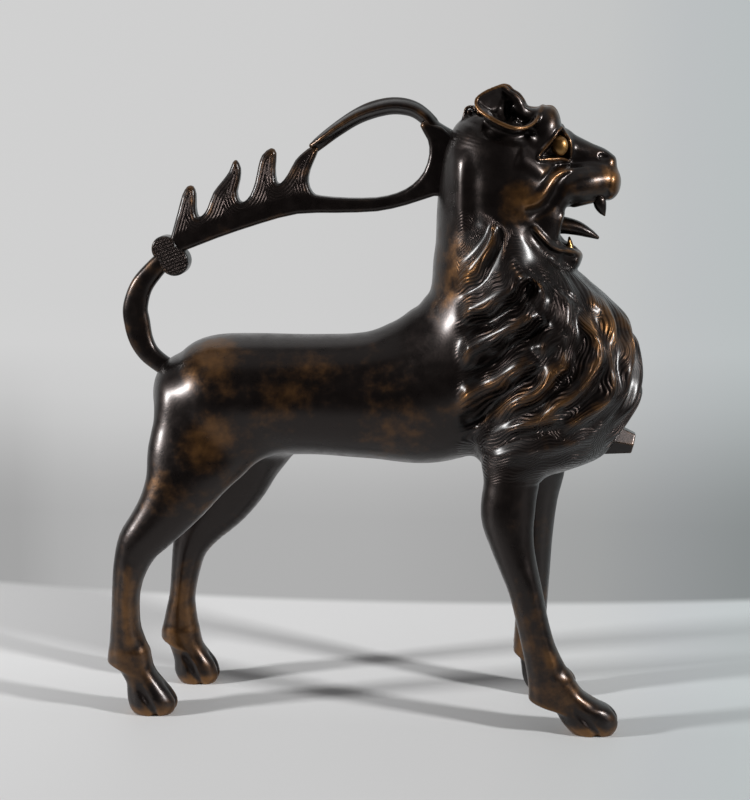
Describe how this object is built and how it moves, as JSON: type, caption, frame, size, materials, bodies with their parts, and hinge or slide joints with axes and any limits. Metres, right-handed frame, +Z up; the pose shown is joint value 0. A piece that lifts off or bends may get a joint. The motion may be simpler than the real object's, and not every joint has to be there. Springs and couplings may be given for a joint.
{
  "type": "lion aquamanile",
  "caption": "Hollow bronze water vessel in the form of a standing lion, filled under a hinged lid between the ears, poured from a spout in the chest, with a flame-tufted tail as handle.",
  "frame": {"origin": "on the ground under the middle of the lion's box", "axes": "+X to the front where the spout is, +Y to the lion's left, +Z up"},
  "size_m": [0.2712, 0.0944, 0.3234],
  "materials": {
    "dark_bronze": "smooth cast bronze with a dark brown patina, rubbed to warm brown on the high places",
    "bronze_fittings": "dark patinated bronze, a little rubbed at the edges",
    "bright_bronze": "rubbed golden bronze"
  },
  "bodies": {
    "vessel": {"torso_shell": "dark_bronze", "mane_shell": "dark_bronze", "head_shell": "dark_bronze", "lower_jaw": "dark_bronze", "tongue": "dark_bronze", "ear_right": "dark_bronze", "ear_left": "dark_bronze", "foreleg_right": "dark_bronze", "foreleg_left": "dark_bronze", "hindleg_right": "dark_bronze", "hindleg_left": "dark_bronze", "tail": "dark_bronze", "tail_knot": "dark_bronze", "handle_bar": "dark_bronze", "handle_strap": "dark_bronze", "upper_fang_right": "dark_bronze", "upper_fang_left": "dark_bronze", "lid_hinge_pin": "bronze_fittings", "spout": "bronze_fittings", "eye_right": "bright_bronze", "eye_left": "bright_bronze", "lower_fang_right": "bright_bronze", "lower_fang_left": "bright_bronze"},
    "lid": {"filler_lid": "bronze_fittings"}
  },
  "joints": [
    {"name": "lid_hinge", "type": "hinge", "parent": "vessel", "child": "lid", "pos_m": [0.04917, 0, 0.3093], "axis": [0, -1, 0], "range_deg": [0, 115]}
  ]
}
